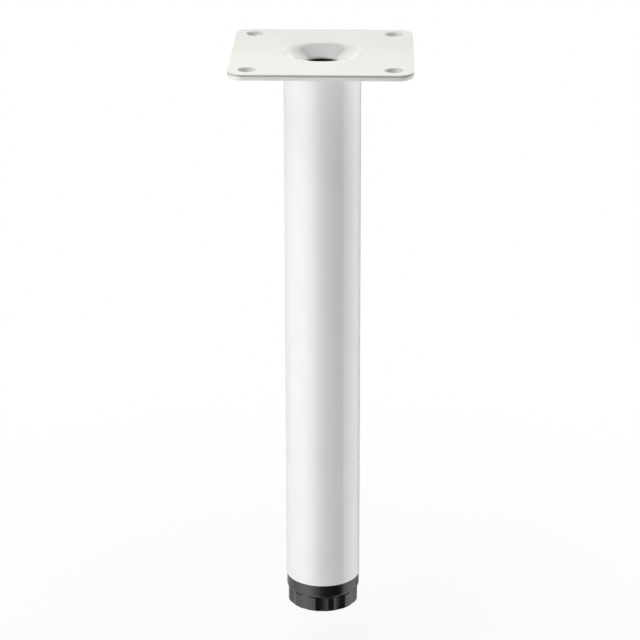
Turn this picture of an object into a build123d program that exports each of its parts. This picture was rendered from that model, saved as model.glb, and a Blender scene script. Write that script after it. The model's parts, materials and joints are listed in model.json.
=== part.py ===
from build123d import *
import os
from math import acos, atan2, cos, degrees, hypot, sin, sqrt, tan

# Furniture leg: a round steel tube welded under a square plate, with a fluted foot that screws in and out.
# Millimetres, +Z up, origin on the floor under the middle of the leg, foot screwed right in.

# Mounting plate
plate_width = 70.0
plate_thickness = 2.5
plate_corner_radius = 6.0
plate_top_round = 0.4
plate_under_round = 1.2
screw_edge_distance = 7.5
screw_hole_diameter = 6.5
screw_hole_bevel = 0.3

# Dish drawn into the plate, which centres the tube
dish_rim_radius = 16.2
dish_lip_radius = 11.0
dish_depth = 3.85
dish_hole_diameter = 12.0
dish_hole_bevel = 0.5

# Tube and the weld that holds it
tube_diameter = 30.0
tube_wall = 1.5
tube_length = 218.0
tube_end_round = 0.6
weld_root_gap = 0.1
weld_leg = 3.2
weld_throat = 2.5

# Plastic plug in the tube's lower end
flange_height = 5.3
flange_setback = 0.2
flange_round = 0.9
barrel_diameter = 22.0
fin_count = 4
fin_start = 1.0
fin_root = 2.6
fin_tip = 0.9
fin_clearance = 0.05
nut_cover = 2.5
barrel_crown = 9.1
barrel_lead = 1.0

# Thread of the foot, drawn as plain cylinders
thread_diameter = 10.0
thread_clearance = 0.1
passage_clearance = 0.3
foot_travel = 20.0
nut_across_flats = 16.0
nut_height = 8.4
spindle_tip = 1.2
head_across_flats = 16.0
head_height = 3.8

# Fluted foot
knob_diameter = 28.7
knob_crown = 1.2
knob_gap = 0.2
knob_edge_bevel = 0.3
flute_count = 12
flute_width = 5.2
flute_depth = 0.25
flute_edge_round = 1.2
head_clearance = 0.1

# Glide under the foot
glide_diameter = 22.0
glide_thickness = 1.7
glide_reveal = 0.7
glide_edge_bevel = 0.5
glide_clearance = 0.2
glide_gap = 0.1
stud_diameter = 5.0
stud_neck = 1.6
stud_bead = 1.4
stud_snap = 0.25
stud_clearance = 0.1

# Radii that follow from the diameters
tube_radius = tube_diameter / 2
tube_bore_radius = tube_radius - tube_wall
spindle_radius = thread_diameter / 2 - thread_clearance
passage_radius = thread_diameter / 2 + passage_clearance
knob_radius = knob_diameter / 2
glide_radius = glide_diameter / 2

# The dish's section is a rounded lip and a straight slope that leads from it to the edge of the hole
dish_hole_radius = dish_hole_diameter / 2
dish_reach = dish_rim_radius - dish_hole_radius
dish_rise = dish_lip_radius - dish_depth
dish_slope = atan2(dish_reach, dish_rise) - acos(dish_lip_radius / hypot(dish_reach, dish_rise))
dish_tip_depth = dish_depth + dish_hole_radius * tan(dish_slope)
slope_thickness = plate_thickness / cos(dish_slope)
lip_under_radius = dish_lip_radius - plate_thickness
lip_centre = (dish_rim_radius, -dish_lip_radius)


def underside_depth(radius):
    """Depth of the plate's underside below its top face, at a distance from the middle."""
    if radius >= dish_rim_radius:
        return plate_thickness
    if radius >= dish_rim_radius - lip_under_radius * sin(dish_slope):
        return dish_lip_radius - sqrt(lip_under_radius**2 - (dish_rim_radius - radius) ** 2)
    return dish_tip_depth - radius * tan(dish_slope) + slope_thickness


# Heights from the floor up
head_bottom = glide_thickness + glide_gap
head_top = head_bottom + head_height
knob_bottom = glide_reveal
knob_top = head_top + knob_crown
flange_bottom = knob_top + knob_gap
tube_bottom = flange_bottom + flange_height
nut_bottom = tube_bottom + nut_cover
nut_top = nut_bottom + nut_height
barrel_top = nut_top + barrel_crown
spindle_top = nut_top + foot_travel + spindle_tip
tube_top = tube_bottom + tube_length
plate_top = tube_top + weld_root_gap + underside_depth(tube_bore_radius)
plate_bottom = plate_top - plate_thickness


def section_at(height):
    """Upright plane through the leg's axis, for profiles that are turned about it."""
    return Plane(origin=(0, 0, height), x_dir=(1, 0, 0), z_dir=(0, -1, 0))


# Square plate with rounded edges and four screw holes, then the dish in its middle
with BuildPart() as mounting_plate:
    screw_spacing = plate_width - 2 * screw_edge_distance
    with BuildSketch(Plane.XY.offset(plate_bottom)):
        RectangleRounded(plate_width, plate_width, plate_corner_radius)
    extrude(amount=plate_thickness)
    fillet(mounting_plate.edges().group_by(Axis.Z)[0], plate_under_round)
    fillet(mounting_plate.edges().group_by(Axis.Z)[-1], plate_top_round)
    with Locations((0, 0, plate_top)):
        with GridLocations(screw_spacing, screw_spacing, 2, 2):
            Hole(screw_hole_diameter / 2)
    chamfer(mounting_plate.edges(Select.LAST).filter_by(GeomType.CIRCLE), screw_hole_bevel)
    with Locations((0, 0, plate_top)):
        Hole(dish_rim_radius)
    with BuildSketch(section_at(plate_top)):
        with BuildLine():
            slope = degrees(dish_slope)
            top_lip = CenterArc(lip_centre, dish_lip_radius, 90, slope)
            under_lip = CenterArc(lip_centre, lip_under_radius, 90, slope)
            top_tip = (0, -dish_tip_depth)
            under_tip = (0, -dish_tip_depth - slope_thickness)
            Line(top_lip @ 0, under_lip @ 0)
            Polyline(top_lip @ 1, top_tip, under_tip, under_lip @ 1)
        make_face()
    revolve(axis=Axis.Z)
    with Locations((0, 0, plate_top)):
        Hole(dish_hole_radius)
    chamfer(mounting_plate.edges(Select.LAST).filter_by(GeomType.CIRCLE), dish_hole_bevel)

mounting_plate.part.label = "mounting_plate"

# Tube, cut square, with its lower outer edge eased
with BuildPart() as leg_tube:
    with BuildSketch(Plane.XY.offset(tube_bottom)):
        Circle(tube_radius)
        Circle(tube_bore_radius, mode=Mode.SUBTRACT)
    extrude(amount=tube_length)
    fillet(leg_tube.edges().group_by(Axis.Z)[0].sort_by(SortBy.RADIUS)[-1], tube_end_round)

leg_tube.part.label = "leg_tube"

# Weld round the tube's upper end: a crowned ring, less the plate and the tube that it joins
with BuildPart() as weld_bead:
    with BuildSketch(section_at(plate_bottom)):
        with BuildLine():
            on_plate = (tube_radius + weld_leg, 0)
            on_tube = (tube_radius, -weld_leg)
            crown = tube_radius + weld_throat / sqrt(2), -weld_throat / sqrt(2)
            ThreePointArc(on_plate, crown, on_tube)
            inner = tube_radius - tube_wall / 2
            Polyline(on_tube, (inner, -weld_leg), (inner, 0), on_plate)
        make_face()
    revolve(axis=Axis.Z)
    add(mounting_plate.part, mode=Mode.SUBTRACT)
    add(leg_tube.part, mode=Mode.SUBTRACT)

weld_bead.part.label = "weld_bead"

# Hexagon nut with turned corners, moulded into the plug
with BuildPart() as insert_nut:
    with BuildSketch(Plane.XY.offset(nut_bottom)):
        RegularPolygon(nut_across_flats / 2, 6, major_radius=False)
    extrude(amount=nut_height)
    with BuildSketch(section_at(nut_bottom)):
        with BuildLine():
            flat = nut_across_flats / 2
            corner = flat * 2 / sqrt(3)
            bevel = (corner - flat) / sqrt(3)
            Polyline((0, 0), (flat, 0), (corner, bevel), (corner, nut_height - bevel), (flat, nut_height))
            Polyline((flat, nut_height), (0, nut_height), (0, 0))
        make_face()
    revolve(axis=Axis.Z, mode=Mode.INTERSECT)
    with Locations((0, 0, nut_top)):
        Hole(thread_diameter / 2)

insert_nut.part.label = "insert_nut"

# Plug: a flange under the tube's end, and a barrel with springy fins that grip the bore
with BuildPart() as tube_insert:
    flange_radius = tube_radius - flange_setback
    barrel_radius = barrel_diameter / 2
    fin_radius = tube_bore_radius - fin_clearance
    barrel_length = barrel_top - tube_bottom
    fin_pitch = (barrel_length - barrel_lead - fin_start) / fin_count
    with BuildSketch(Plane.XY.offset(flange_bottom)):
        Circle(flange_radius)
    extrude(amount=flange_height)
    fillet(tube_insert.edges().group_by(Axis.Z)[0], flange_round)
    with BuildSketch(Plane.XY.offset(tube_bottom)):
        Circle(barrel_radius)
    extrude(amount=barrel_length)
    chamfer(tube_insert.edges().group_by(Axis.Z)[-1], barrel_lead)
    with BuildSketch(section_at(tube_bottom)):
        with Locations(*[(0, fin_start + fin_pitch * number) for number in range(fin_count)]):
            Polygon(
                (barrel_radius - fin_tip, fin_root),
                (barrel_radius - fin_tip, fin_root + fin_tip),
                (fin_radius, fin_tip),
                (fin_radius, 0),
            )
    revolve(axis=Axis.Z)
    add(insert_nut.part, mode=Mode.SUBTRACT)
    with Locations((0, 0, barrel_top)):
        Hole(passage_radius)

tube_insert.part.label = "tube_insert"

# Steel screw: a flat hexagon head with a snap socket below it, and a plain shank for the thread
with BuildPart() as spindle:
    with BuildSketch(Plane.XY.offset(head_bottom)):
        RegularPolygon(head_across_flats / 2, 6, major_radius=False)
    extrude(amount=head_height)
    with BuildSketch(Plane.XY.offset(head_top)):
        Circle(spindle_radius)
    extrude(amount=spindle_top - head_top)
    chamfer(spindle.edges().group_by(Axis.Z)[-1], spindle_tip)
    with BuildSketch(section_at(head_bottom)):
        with BuildLine():
            mouth = stud_diameter / 2
            pocket = mouth + stud_snap + stud_clearance
            pocket_low = stud_neck - glide_gap - stud_clearance
            pocket_top = stud_neck - glide_gap + stud_bead + stud_clearance
            Polyline((0, 0), (mouth, 0), (mouth, pocket_low), (pocket, pocket_low + stud_snap))
            Polyline((pocket, pocket_low + stud_snap), (pocket, pocket_top), (0, pocket_top), (0, 0))
        make_face()
    revolve(axis=Axis.Z, mode=Mode.SUBTRACT)

spindle.part.label = "spindle"

# Fluted foot: hand flutes all round, a hexagon pocket for the screw's head and a recess for the glide
with BuildPart() as foot_knob:
    knob_height = knob_top - knob_bottom
    flute_radius = (flute_width**2 / 4 + flute_depth**2) / (2 * flute_depth)
    flute_edge_reach = sqrt(knob_radius**2 - flute_width**2 / 4)
    with BuildSketch(Plane.XY.offset(knob_bottom)) as fluted_outline:
        Circle(knob_radius)
        with PolarLocations(flute_edge_reach - flute_depth + flute_radius, flute_count):
            Circle(flute_radius, mode=Mode.SUBTRACT)
        fillet(fluted_outline.vertices(), flute_edge_round)
    extrude(amount=knob_height)
    with BuildSketch(section_at(knob_bottom)) as turned_outline:
        with Locations((knob_radius / 2, knob_height / 2)):
            Rectangle(knob_radius, knob_height)
        chamfer(turned_outline.vertices().group_by(Axis.X)[-1], knob_edge_bevel)
    revolve(axis=Axis.Z, mode=Mode.INTERSECT)
    with BuildSketch(Plane.XY.offset(knob_bottom)):
        Circle(glide_radius + glide_clearance)
    extrude(amount=head_bottom - knob_bottom, mode=Mode.SUBTRACT)
    with BuildSketch(Plane.XY.offset(head_bottom)):
        RegularPolygon(head_across_flats / 2 + head_clearance, 6, major_radius=False)
    extrude(amount=head_height, mode=Mode.SUBTRACT)
    with Locations((0, 0, knob_top)):
        Hole(passage_radius)

foot_knob.part.label = "foot_knob"

# Glide: a disc that stays still on the floor, with a stud that snaps into the screw's head
with BuildPart() as floor_glide:
    with BuildSketch(Plane.XY):
        Circle(glide_radius)
    extrude(amount=glide_thickness)
    chamfer(floor_glide.edges().group_by(Axis.Z)[0], glide_edge_bevel)
    with BuildSketch(section_at(glide_thickness)):
        with BuildLine():
            neck = stud_diameter / 2 - stud_clearance
            bead = neck + stud_snap
            stud_top = stud_neck + stud_bead
            Polyline((0, 0), (neck, 0), (neck, stud_neck), (bead, stud_neck + stud_snap))
            Polyline((bead, stud_neck + stud_snap), (bead, stud_top - stud_snap), (neck, stud_top))
            Polyline((neck, stud_top), (0, stud_top), (0, 0))
        make_face()
    revolve(axis=Axis.Z)

floor_glide.part.label = "floor_glide"

os.makedirs("parts", exist_ok=True)
export_step(mounting_plate.part, "parts/mounting_plate.step")
export_step(leg_tube.part, "parts/leg_tube.step")
export_step(weld_bead.part, "parts/weld_bead.step")
export_step(tube_insert.part, "parts/tube_insert.step")
export_step(insert_nut.part, "parts/insert_nut.step")
export_step(spindle.part, "parts/spindle.step")
export_step(foot_knob.part, "parts/foot_knob.step")
export_step(floor_glide.part, "parts/floor_glide.step")
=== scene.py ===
import json
import math

import bpy
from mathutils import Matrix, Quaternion, Vector


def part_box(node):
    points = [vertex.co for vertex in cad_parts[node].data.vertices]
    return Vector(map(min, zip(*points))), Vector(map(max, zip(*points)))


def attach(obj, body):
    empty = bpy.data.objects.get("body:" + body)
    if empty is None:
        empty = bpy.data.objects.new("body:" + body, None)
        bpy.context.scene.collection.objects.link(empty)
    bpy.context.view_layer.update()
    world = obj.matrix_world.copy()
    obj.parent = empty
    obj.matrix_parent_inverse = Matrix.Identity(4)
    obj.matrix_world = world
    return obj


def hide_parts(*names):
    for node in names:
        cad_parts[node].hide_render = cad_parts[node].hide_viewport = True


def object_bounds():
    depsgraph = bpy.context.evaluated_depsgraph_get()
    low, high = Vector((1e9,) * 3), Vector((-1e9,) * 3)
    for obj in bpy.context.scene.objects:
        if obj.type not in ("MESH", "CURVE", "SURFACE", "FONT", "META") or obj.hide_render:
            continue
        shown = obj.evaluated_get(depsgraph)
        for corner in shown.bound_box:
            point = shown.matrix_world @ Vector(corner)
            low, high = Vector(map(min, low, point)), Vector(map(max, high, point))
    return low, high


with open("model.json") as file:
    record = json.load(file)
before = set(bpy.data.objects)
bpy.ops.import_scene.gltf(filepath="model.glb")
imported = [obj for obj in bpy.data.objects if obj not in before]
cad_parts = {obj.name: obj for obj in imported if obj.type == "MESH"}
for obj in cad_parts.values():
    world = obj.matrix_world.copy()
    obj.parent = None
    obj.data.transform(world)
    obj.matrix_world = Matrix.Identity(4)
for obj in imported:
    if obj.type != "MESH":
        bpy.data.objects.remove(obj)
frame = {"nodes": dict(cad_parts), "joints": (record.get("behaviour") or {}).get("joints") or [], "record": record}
cad_low, cad_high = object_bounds()

MM = 0.001
NODES = frame["nodes"]
SLOTS = {row["node"]: row["material_slot"] for row in frame["record"]["subparts"]}
TRAVEL = next(joint for joint in frame["joints"] if joint["name"] == "foot_travel")["range_m"][1]
PLATE_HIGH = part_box("mounting_plate")[1]
TUBE_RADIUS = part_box("leg_tube")[1].x
WELD_LOW, WELD_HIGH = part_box("weld_bead")
SCREW_LOW, SCREW_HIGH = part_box("spindle")

# Camera, fitted to the photograph's edges
IMAGE_PIXELS = 640
SENSOR_MM = 36.0
FOCAL_PIXELS = 2572.0
CAMERA_AZIMUTH = math.radians(1.605)
CAMERA_YAW = math.radians(-0.0644)
CAMERA_PITCH = math.radians(20.5147)
CAMERA_ROLL = math.radians(-0.087)
CAMERA_REACH = 961.5 * MM
CAMERA_HEIGHT = 482.99 * MM

# Studio. Azimuth 0 is in front of the leg and 90 at its right.
AMBIENT = 0.12
# Lamps: azimuth and elevation in degrees, distance, width and height in metres, radiance
LAMPS = {
    "key": (-55, 10, 0.9, 0.8, 0.6, 2.1),
    "key_low": (-44, 2, 0.9, 0.9, 0.6, 1.8),
    "sky": (-62, 66, 0.7, 0.5, 0.5, 2.35),
    "right": (108, 3, 0.8, 0.7, 0.6, 4.4),
    "back": (180, 25, 0.9, 0.9, 0.7, 1.1),
    "back_high": (180, 37, 0.9, 0.9, 0.5, 0.4),
}
# Lamps that gloss shows too, slightly green
MIRRORED_LAMPS = ("back", "back_high")
BACK_COLOUR = (0.97, 1.0, 0.89)
# Walls that only gloss shows: azimuth in degrees, radiance
WALL_PEAK = 3.0
WALLS = [
    (-180, 0.7), (-140, 0.8), (-107, 1.0), (-80, 1.8), (-60, 2.6),
    (-40, 2.4), (-20, 1.1), (0, 0.0), (67, 0.0), (71, 1.7),
    (100, 1.8), (120, 1.4), (140, 0.5), (160, 0.2), (180, 0.7),
]
# They fade upwards: sines of the rise where the fade starts and ends, and the share before and after it
WALL_FADE = (0.0, 0.2, 1.0, 0.55)
# A ceiling above them: sines of the rise where it starts and is full, and the radiance before and after
CEILING = (0.65, 0.9, 0.0, 1.6)

# The floor lies just below where the foot stands when it is screwed right out
FLOOR_SIZE = 12.0
FLOOR_GAP = 0.2 * MM
FLOOR_LEVEL = -TRAVEL - FLOOR_GAP
FLOOR_GREY = 0.9
# The floor glows white, but less near the leg, so that the shadow shows there
SHADOW_REACH = 0.30
SHADOW_WHITENING = 0.87

# Every finish has soft clouds, given as features per metre and detail, and a fine grain, given as features
# per metre, height and strength. The edges are the noise levels where clouds start and are full.
CLOUD_EDGES = (0.35, 0.65)
GRAIN_DETAIL = 2

# White coat, with faint orange peel as its grain
TUBE_WHITE = (0.83, 0.83, 0.83)
PLATE_WHITE = (0.785, 0.79, 0.77)
CLOUD_SHADE = 0.985
COAT_CLOUDS = (60, 3)
COAT_ROUGHNESS = (0.06, 0.09)
ORANGE_PEEL = (900, 0.015 * MM, 0.15)

# Bare steel in the hanging hole and in the tube's bore, up to the middle of the tube's wall, painted near black as
# shade in these recesses
SHADED_BARE_STEEL = (0.035, 0.033, 0.031)
BARE_EXTRA_ROUGHNESS = 0.4
BARE_BLUR = 0.05 * MM
HANGING_HOLE_RADIUS = 6.05 * MM
TUBE_BARE_RADIUS = 0.95 * TUBE_RADIUS

# Painted shade: a thinner, darker coat on the upright faces just below the plate's top, along its outer edge only
PAINTED_EDGE_SHADE = 0.52
SHADED_EDGE_DEPTH = 1.0 * MM
SHADED_EDGE_DEPTH_FADE = 0.4 * MM
SHADED_EDGE_WIDTH = 3.0 * MM
SHADED_EDGE_WIDTH_FADE = 0.6 * MM
# Rise of a face's normal up to which it counts as upright, and from which it doesn't
UPRIGHT_EDGES = (0.35, 0.75)

# Foot screw: snap socket in its head, then a metric thread
SOCKET_MOUTH = 2.5 * MM
SOCKET_WIDE = 2.85 * MM
SOCKET_LIP = 1.4 * MM
SOCKET_SLOPE = 0.25 * MM
SOCKET_DEPTH = 3.0 * MM
HEAD_HEIGHT = 3.8 * MM
SHANK_RADIUS = 4.9 * MM
THREAD_PITCH = 1.5 * MM
THREAD_DEPTH = 0.82 * MM
THREAD_NECK = 1.0 * MM
TIP_BEVEL = 1.2 * MM
THREAD_STEPS = 12
SCREW_SIDES = 96
# Shares of the pitch
THREAD_ROOT = 0.25
THREAD_CREST = 0.125

# Weld bead. Its face is partly round and partly straight, and its back is set by shares of its width.
BEAD_ROUND = 0.8
BACK_ON_PLATE = 0.5
BACK_ON_TUBE = 0.25
BEAD_STEPS = 14
RIPPLES = 84
RIPPLE_HEIGHT = 0.11 * MM
RIPPLE_LAG = 1.6
RIPPLE_STEPS = 8

SHARP_ANGLE = math.radians(40)


# Mesh helpers

def new_piece(name, vertices, faces, body, material):
    """A smooth mesh piece that rides on a body and takes its finish from a slot."""
    mesh = bpy.data.meshes.new(name)
    mesh.from_pydata(vertices, [], faces)
    mesh.validate()
    mesh.update()
    mesh.materials.append(material)
    piece = bpy.data.objects.new(name, mesh)
    bpy.context.scene.collection.objects.link(piece)
    mesh.polygons.foreach_set("use_smooth", [True] * len(mesh.polygons))
    mesh.set_sharp_from_angle(angle=SHARP_ANGLE)
    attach(piece, body)
    return piece


def plain_ring(radius, height):
    """A round ring. A ring is a function of the angle that gives a radius and a height."""
    return lambda angle: (radius, height)


def ring_points(ring, sides):
    points = []
    for k in range(sides):
        angle = 2 * math.pi * k / sides
        radius, height = ring(angle)
        points.append((radius * math.cos(angle), radius * math.sin(angle), height))
    return points


def band_faces(low, high, sides):
    """Faces between two rings of points that start at the given vertex numbers."""
    faces = []
    for k in range(sides):
        after = (k + 1) % sides
        faces.append((low + k, low + after, high + after, high + k))
    return faces


def stack_rings(rings, sides):
    """Points of all rings, and the faces from each ring to the next."""
    vertices, faces = [], []
    for number, ring in enumerate(rings):
        vertices += ring_points(ring, sides)
        if number:
            faces += band_faces((number - 1) * sides, number * sides, sides)
    return vertices, faces


# Material helpers

def new_material(name):
    material = bpy.data.materials.new(name)
    material.use_nodes = True
    return material, material.node_tree


def feed(tree, socket, value):
    """Links a socket to another, or sets it to a plain value."""
    if isinstance(value, bpy.types.NodeSocket):
        tree.links.new(value, socket)
    else:
        socket.default_value = value


def calc(tree, operation, *values):
    node = tree.nodes.new("ShaderNodeMath")
    node.operation = operation
    for socket, value in zip(node.inputs, values):
        feed(tree, socket, value)
    return node.outputs["Value"]


def smooth_step(tree, value, start, end, low=0.0, high=1.0):
    """Goes smoothly from low at start to high at end."""
    node = tree.nodes.new("ShaderNodeMapRange")
    node.interpolation_type = "SMOOTHSTEP"
    for name, number in (("From Min", start), ("From Max", end), ("To Min", low), ("To Max", high)):
        node.inputs[name].default_value = number
    feed(tree, node.inputs["Value"], value)
    return node.outputs["Result"]


def coordinate(tree, kind):
    """X, Y and Z of a place, a normal or a direction."""
    place = tree.nodes.new("ShaderNodeTexCoord")
    split = tree.nodes.new("ShaderNodeSeparateXYZ")
    tree.links.new(place.outputs[kind], split.inputs["Vector"])
    return split.outputs["X"], split.outputs["Y"], split.outputs["Z"]


def distance_from_axis(tree):
    x, y = coordinate(tree, "Object")[:2]
    squares = calc(tree, "ADD", calc(tree, "MULTIPLY", x, x), calc(tree, "MULTIPLY", y, y))
    return calc(tree, "SQRT", squares)


def noise(tree, scale, detail):
    """Noise over the piece's own frame, in features per metre."""
    place = tree.nodes.new("ShaderNodeTexCoord")
    texture = tree.nodes.new("ShaderNodeTexNoise")
    texture.inputs["Scale"].default_value = scale
    texture.inputs["Detail"].default_value = detail
    tree.links.new(place.outputs["Object"], texture.inputs["Vector"])
    return texture.outputs["Fac"]


def blend(tree, share, low, high):
    """Mixes two colours."""
    node = tree.nodes.new("ShaderNodeMix")
    node.data_type = "RGBA"
    feed(tree, node.inputs["Factor"], share)
    for socket, colour in ((node.inputs["A"], low), (node.inputs["B"], high)):
        feed(tree, socket, colour if isinstance(colour, bpy.types.NodeSocket) else (*colour, 1.0))
    return node.outputs["Result"]


def mix_shaders(tree, share, first, second):
    node = tree.nodes.new("ShaderNodeMixShader")
    tree.links.new(share, node.inputs["Fac"])
    tree.links.new(first, node.inputs[1])
    tree.links.new(second, node.inputs[2])
    return node.outputs["Shader"]


def grainy_normal(tree, scale, height, strength):
    """Bump from fine noise, in features per metre."""
    node = tree.nodes.new("ShaderNodeBump")
    node.inputs["Distance"].default_value = height
    node.inputs["Strength"].default_value = strength
    tree.links.new(noise(tree, scale, GRAIN_DETAIL), node.inputs["Height"])
    return node.outputs["Normal"]


def shaded(colour, share):
    return tuple(share * channel for channel in colour)


# Materials

def edge_shade_mask(tree):
    """1 where shade is painted: on the sheared outer edge of the plate, just below its top."""
    x, y, z = coordinate(tree, "Object")
    flatness = calc(tree, "ABSOLUTE", coordinate(tree, "Normal")[2])
    upright = smooth_step(tree, flatness, *UPRIGHT_EDGES, 1.0, 0.0)
    lowest = PLATE_HIGH.z - SHADED_EDGE_DEPTH
    near_top = smooth_step(tree, z, lowest, lowest + SHADED_EDGE_DEPTH_FADE)
    side = calc(tree, "MAXIMUM", calc(tree, "ABSOLUTE", x), calc(tree, "ABSOLUTE", y))
    innermost = PLATE_HIGH.x - SHADED_EDGE_WIDTH
    outer = smooth_step(tree, side, innermost, innermost + SHADED_EDGE_WIDTH_FADE)
    return calc(tree, "MULTIPLY", calc(tree, "MULTIPLY", upright, near_top), outer)


def white_coat(name, colour, bare_radius, painted_edge):
    """Glossy white powder coat. Nearer to the axis than bare_radius the steel is uncoated, and painted near black
    as shade in that recess. Where asked, a darker band is painted as shade along the plate's outer top edge.
    """
    material, tree = new_material(name)
    shader = tree.nodes["Principled BSDF"]
    cloud = smooth_step(tree, noise(tree, *COAT_CLOUDS), *CLOUD_EDGES)
    tone = blend(tree, cloud, shaded(colour, CLOUD_SHADE), colour)
    if painted_edge:
        # Painted shade: a darker band along the plate's outer top edge
        tone = blend(tree, edge_shade_mask(tree), tone, shaded(colour, PAINTED_EDGE_SHADE))
    # Near the axis: uncoated steel, painted near black as shade in the hole and the bore
    inner, outer = bare_radius - BARE_BLUR, bare_radius + BARE_BLUR
    bare_and_shade = smooth_step(tree, distance_from_axis(tree), inner, outer, 1.0, 0.0)
    feed(tree, shader.inputs["Base Color"], blend(tree, bare_and_shade, tone, SHADED_BARE_STEEL))
    gloss = smooth_step(tree, cloud, 0.0, 1.0, *COAT_ROUGHNESS)
    rough = calc(tree, "ADD", gloss, calc(tree, "MULTIPLY", bare_and_shade, BARE_EXTRA_ROUGHNESS))
    feed(tree, shader.inputs["Roughness"], rough)
    feed(tree, shader.inputs["Normal"], grainy_normal(tree, *ORANGE_PEEL))
    return material


def cloudy_finish(name, colours, roughness, clouds, grain, metallic=0.0):
    """Two colours and two roughnesses that soft clouds mix, and a fine grain."""
    material, tree = new_material(name)
    shader = tree.nodes["Principled BSDF"]
    shader.inputs["Metallic"].default_value = metallic
    cloud = smooth_step(tree, noise(tree, *clouds), *CLOUD_EDGES)
    feed(tree, shader.inputs["Base Color"], blend(tree, cloud, *colours))
    feed(tree, shader.inputs["Roughness"], smooth_step(tree, cloud, 0.0, 1.0, *roughness))
    feed(tree, shader.inputs["Normal"], grainy_normal(tree, *grain))
    return material


PLATE_COAT = white_coat("plate_coat_with_painted_shade", PLATE_WHITE, HANGING_HOLE_RADIUS, painted_edge=True)
FINISHES = {
    "white_coat": white_coat("tube_coat_with_painted_shade", TUBE_WHITE, TUBE_BARE_RADIUS, painted_edge=False),
    # Satin moulded plastic with a fine spark-eroded grain
    "black_plastic": cloudy_finish(
        "black_plastic",
        colours=((0.007, 0.007, 0.007), (0.010, 0.010, 0.010)),
        roughness=(0.22, 0.30),
        clouds=(150, 3),
        grain=(4500, 0.02 * MM, 0.35),
    ),
    # Bright zinc plating
    "zinc_steel": cloudy_finish(
        "zinc_steel",
        colours=((0.56, 0.58, 0.62), (0.70, 0.70, 0.69)),
        roughness=(0.20, 0.34),
        clouds=(400, 4),
        grain=(6000, 0.01 * MM, 0.3),
        metallic=1.0,
    ),
    # Dull plastic of the disc that meets the floor
    "glide_plastic": cloudy_finish(
        "glide_plastic",
        colours=((0.075, 0.075, 0.078), (0.095, 0.095, 0.097)),
        roughness=(0.50, 0.62),
        clouds=(300, 3),
        grain=(3000, 0.03 * MM, 0.5),
    ),
}
for name, node in NODES.items():
    node.data.materials.clear()
    node.data.materials.append(PLATE_COAT if name == "mounting_plate" else FINISHES[SLOTS[name]])


# Foot screw with its thread

def thread_profile(turn):
    """Share of the thread's depth at a place along one pitch: two flanks, a narrow crest and a flat root."""
    flank = (1 - THREAD_ROOT - THREAD_CREST) / 2
    place = turn % 1.0
    if place < flank:
        return place / flank
    if place < flank + THREAD_CREST:
        return 1.0
    if place < 2 * flank + THREAD_CREST:
        return 1 - (place - flank - THREAD_CREST) / flank
    return 0.0


def hexagon_radius(angle, flat):
    """Distance to the side of a hexagon with corners on the X axis."""
    sixth = math.pi / 3
    return flat / math.cos((angle % sixth) - sixth / 2)


def foot_screw():
    """One closed form, from the socket's ceiling down, round the hexagon head and up the thread."""
    bottom, top = SCREW_LOW.z, SCREW_HIGH.z
    shoulder = bottom + HEAD_HEIGHT
    flat = SCREW_HIGH.y
    root_radius = SHANK_RADIUS - THREAD_DEPTH
    thread_start = shoulder + THREAD_NECK
    rows = round((top - thread_start) / THREAD_PITCH * THREAD_STEPS)

    def hexagon(height):
        return lambda angle: (hexagon_radius(angle, flat), height)

    def thread(height):
        grown = min(1.0, (height - thread_start) / THREAD_PITCH)
        limit = SHANK_RADIUS - TIP_BEVEL + top - height

        def radius_at(angle):
            share = thread_profile(height / THREAD_PITCH - angle / (2 * math.pi))
            return min(root_radius + THREAD_DEPTH * grown * share, limit), height

        return radius_at

    rings = [
        plain_ring(SOCKET_WIDE, bottom + SOCKET_DEPTH),
        plain_ring(SOCKET_WIDE, bottom + SOCKET_LIP + SOCKET_SLOPE),
        plain_ring(SOCKET_MOUTH, bottom + SOCKET_LIP),
        plain_ring(SOCKET_MOUTH, bottom),
        hexagon(bottom),
        hexagon(shoulder),
        plain_ring(root_radius, shoulder),
    ]
    rings += [thread(thread_start + (top - thread_start) * row / rows) for row in range(rows + 1)]
    vertices, faces = stack_rings(rings, SCREW_SIDES)
    ceiling = tuple(range(SCREW_SIDES))[::-1]
    tip = tuple(range(len(vertices) - SCREW_SIDES, len(vertices)))
    faces = [ceiling] + faces + [tip]
    screw = new_piece("foot_screw", vertices, faces, "foot", FINISHES["zinc_steel"])
    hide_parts("spindle")


# Weld with its ripples

def rippled_weld():
    """A closed ring: a crowned face with crescent ripples, and a plain back against plate and tube."""
    width = WELD_HIGH.x - TUBE_RADIUS
    top, bottom = WELD_HIGH.z, WELD_LOW.z
    sides = RIPPLES * RIPPLE_STEPS
    curved, straight = width * BEAD_ROUND, width * (1 - BEAD_ROUND)

    def crown(share):
        """A place across the bead's face, from the tube to the plate, and the way that the face looks."""
        turn = share * math.pi / 2
        radius = WELD_HIGH.x - curved * math.cos(turn) - straight * (1 - share)
        height = bottom + curved * math.sin(turn) + straight * share
        return radius, height, math.sin(turn), -math.cos(turn)

    def face_ring(share):
        radius, height, out, up = crown(share)

        def rippled(angle):
            phase = angle * RIPPLES - RIPPLE_LAG * math.cos(math.pi * (share - 0.5))
            lift = RIPPLE_HEIGHT * math.sin(math.pi * share) * (abs(math.cos(phase / 2)) - 1)
            return radius + lift * out, height + lift * up

        return rippled

    rings = [face_ring(step / BEAD_STEPS) for step in range(BEAD_STEPS + 1)]
    rings.append(plain_ring(TUBE_RADIUS + BACK_ON_PLATE * width, top))
    rings.append(plain_ring(TUBE_RADIUS, top - BACK_ON_TUBE * width))
    vertices, faces = stack_rings(rings, sides)
    faces += band_faces(len(vertices) - sides, 0, sides)
    weld = new_piece("rippled_weld", vertices, faces, "leg", FINISHES["white_coat"])
    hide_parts("weld_bead")


foot_screw()
rippled_weld()


# Stage

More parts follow.
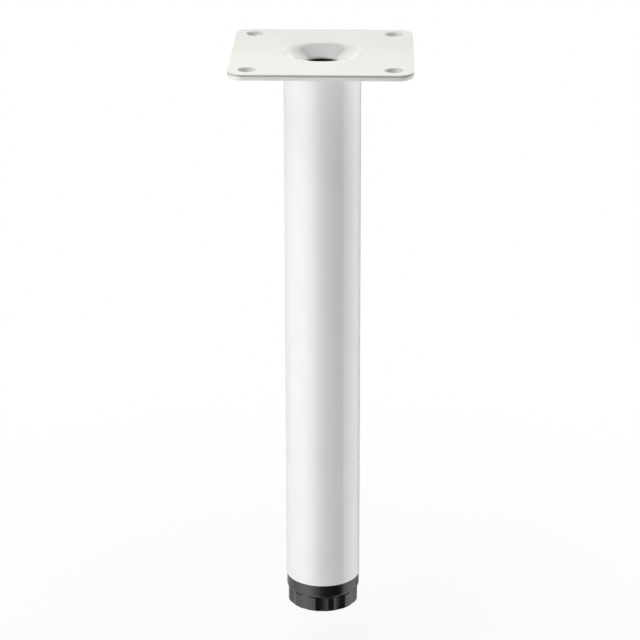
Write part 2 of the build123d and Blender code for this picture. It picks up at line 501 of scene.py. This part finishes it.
def direction(azimuth, elevation):
    """Unit vector from the leg, for angles in radians."""
    level = math.cos(elevation)
    return Vector((math.sin(azimuth) * level, -math.cos(azimuth) * level, math.sin(elevation)))


def aim(thing, target):
    thing.rotation_mode = "QUATERNION"
    thing.rotation_quaternion = (target - thing.location).to_track_quat("-Z", "Y")


def place_camera():
    data = bpy.data.cameras.new("camera")
    data.sensor_width = SENSOR_MM
    data.lens = FOCAL_PIXELS / IMAGE_PIXELS * SENSOR_MM
    camera = bpy.data.objects.new("camera", data)
    bpy.context.scene.collection.objects.link(camera)
    camera.location = CAMERA_REACH * direction(CAMERA_AZIMUTH, 0.0) + Vector((0, 0, CAMERA_HEIGHT))
    aim(camera, camera.location - direction(CAMERA_AZIMUTH - CAMERA_YAW, CAMERA_PITCH))
    camera.rotation_quaternion = camera.rotation_quaternion @ Quaternion((0, 0, 1), CAMERA_ROLL)
    bpy.context.scene.camera = camera


def softbox(name, azimuth, elevation, distance, width, height, radiance):
    """A flat light facing the leg's middle."""
    data = bpy.data.lights.new(name, "AREA")
    data.shape = "RECTANGLE"
    data.size = width
    data.size_y = height
    data.energy = radiance * math.pi * width * height
    if name in MIRRORED_LAMPS:
        data.color = BACK_COLOUR
    light = bpy.data.objects.new(name, data)
    bpy.context.scene.collection.objects.link(light)
    middle = (cad_low + cad_high) / 2
    light.location = middle + distance * direction(math.radians(azimuth), math.radians(elevation))
    light.visible_camera = False
    light.visible_glossy = name in MIRRORED_LAMPS
    aim(light, middle)


def ray_kinds(tree):
    """1 for rays from the camera, and 1 for mirror and glass rays."""
    path = tree.nodes.new("ShaderNodeLightPath")
    mirrored = calc(tree, "MAXIMUM", path.outputs["Is Glossy Ray"], path.outputs["Is Transmission Ray"])
    return path.outputs["Is Camera Ray"], mirrored


def studio_walls(tree):
    """Brightness of the studio by the way that a mirror ray goes: pale behind the leg, bright at its sides
    and overhead, and dim in front."""
    x, y, z = coordinate(tree, "Generated")
    azimuth = calc(tree, "ARCTAN2", x, calc(tree, "MULTIPLY", y, -1.0))
    place = calc(tree, "MULTIPLY_ADD", azimuth, 0.5 / math.pi, 0.5)
    node = tree.nodes.new("ShaderNodeValToRGB")
    tree.links.new(place, node.inputs["Fac"])
    stops = node.color_ramp.elements
    while len(stops) < len(WALLS):
        stops.new(1.0)
    for stop, (degrees, radiance) in zip(stops, WALLS):
        stop.position = degrees / 360 + 0.5
        stop.color = (*[radiance / WALL_PEAK] * 3, 1)
    level = calc(tree, "MULTIPLY", node.outputs["Color"], WALL_PEAK)
    walls = calc(tree, "MULTIPLY", level, smooth_step(tree, z, *WALL_FADE))
    return calc(tree, "MAXIMUM", walls, smooth_step(tree, z, *CEILING))


def studio_world():
    """White to the camera, the walls to mirror rays, and a dim even light to the rest."""
    world = bpy.data.worlds.new("studio")
    bpy.context.scene.world = world
    world.use_nodes = True
    tree = world.node_tree
    seen, mirrored = ray_kinds(tree)
    even = calc(tree, "MULTIPLY", calc(tree, "SUBTRACT", 1.0, mirrored), AMBIENT)
    unseen = calc(tree, "MULTIPLY_ADD", mirrored, studio_walls(tree), even)
    background = tree.nodes["Background"]
    background.inputs["Color"].default_value = (1, 1, 1, 1)
    feed(tree, background.inputs["Strength"], calc(tree, "MAXIMUM", seen, unseen))


def pale_floor():
    """A white floor that keeps a faint shadow near the foot. Mirror rays go through it to the studio's
    walls, and so does the camera from below."""
    half = FLOOR_SIZE / 2
    mesh = bpy.data.meshes.new("floor")
    corners = [(-half, -half), (half, -half), (half, half), (-half, half)]
    mesh.from_pydata([(x, y, FLOOR_LEVEL) for x, y in corners], [], [(0, 1, 2, 3)])
    floor = bpy.data.objects.new("floor", mesh)
    bpy.context.scene.collection.objects.link(floor)
    material, tree = new_material("floor_white")
    tree.nodes.remove(tree.nodes["Principled BSDF"])
    seen, mirrored = ray_kinds(tree)
    matt = tree.nodes.new("ShaderNodeBsdfDiffuse")
    matt.inputs["Color"].default_value = (FLOOR_GREY, FLOOR_GREY, FLOOR_GREY, 1)
    glow = tree.nodes.new("ShaderNodeEmission")
    clear = tree.nodes.new("ShaderNodeBsdfTransparent")
    facing = tree.nodes.new("ShaderNodeNewGeometry")
    away = distance_from_axis(tree)
    whitening = calc(tree, "MULTIPLY", seen, smooth_step(tree, away, 0.0, SHADOW_REACH, SHADOW_WHITENING))
    shade = mix_shaders(tree, whitening, matt.outputs["BSDF"], glow.outputs["Emission"])
    open_way = calc(tree, "MAXIMUM", mirrored, facing.outputs["Backfacing"])
    shade = mix_shaders(tree, open_way, shade, clear.outputs["BSDF"])
    tree.links.new(shade, tree.nodes["Material Output"].inputs["Surface"])
    mesh.materials.append(material)


place_camera()
studio_world()
pale_floor()
for lamp, values in LAMPS.items():
    softbox(lamp, *values)
bpy.context.scene.view_settings.view_transform = "Standard"
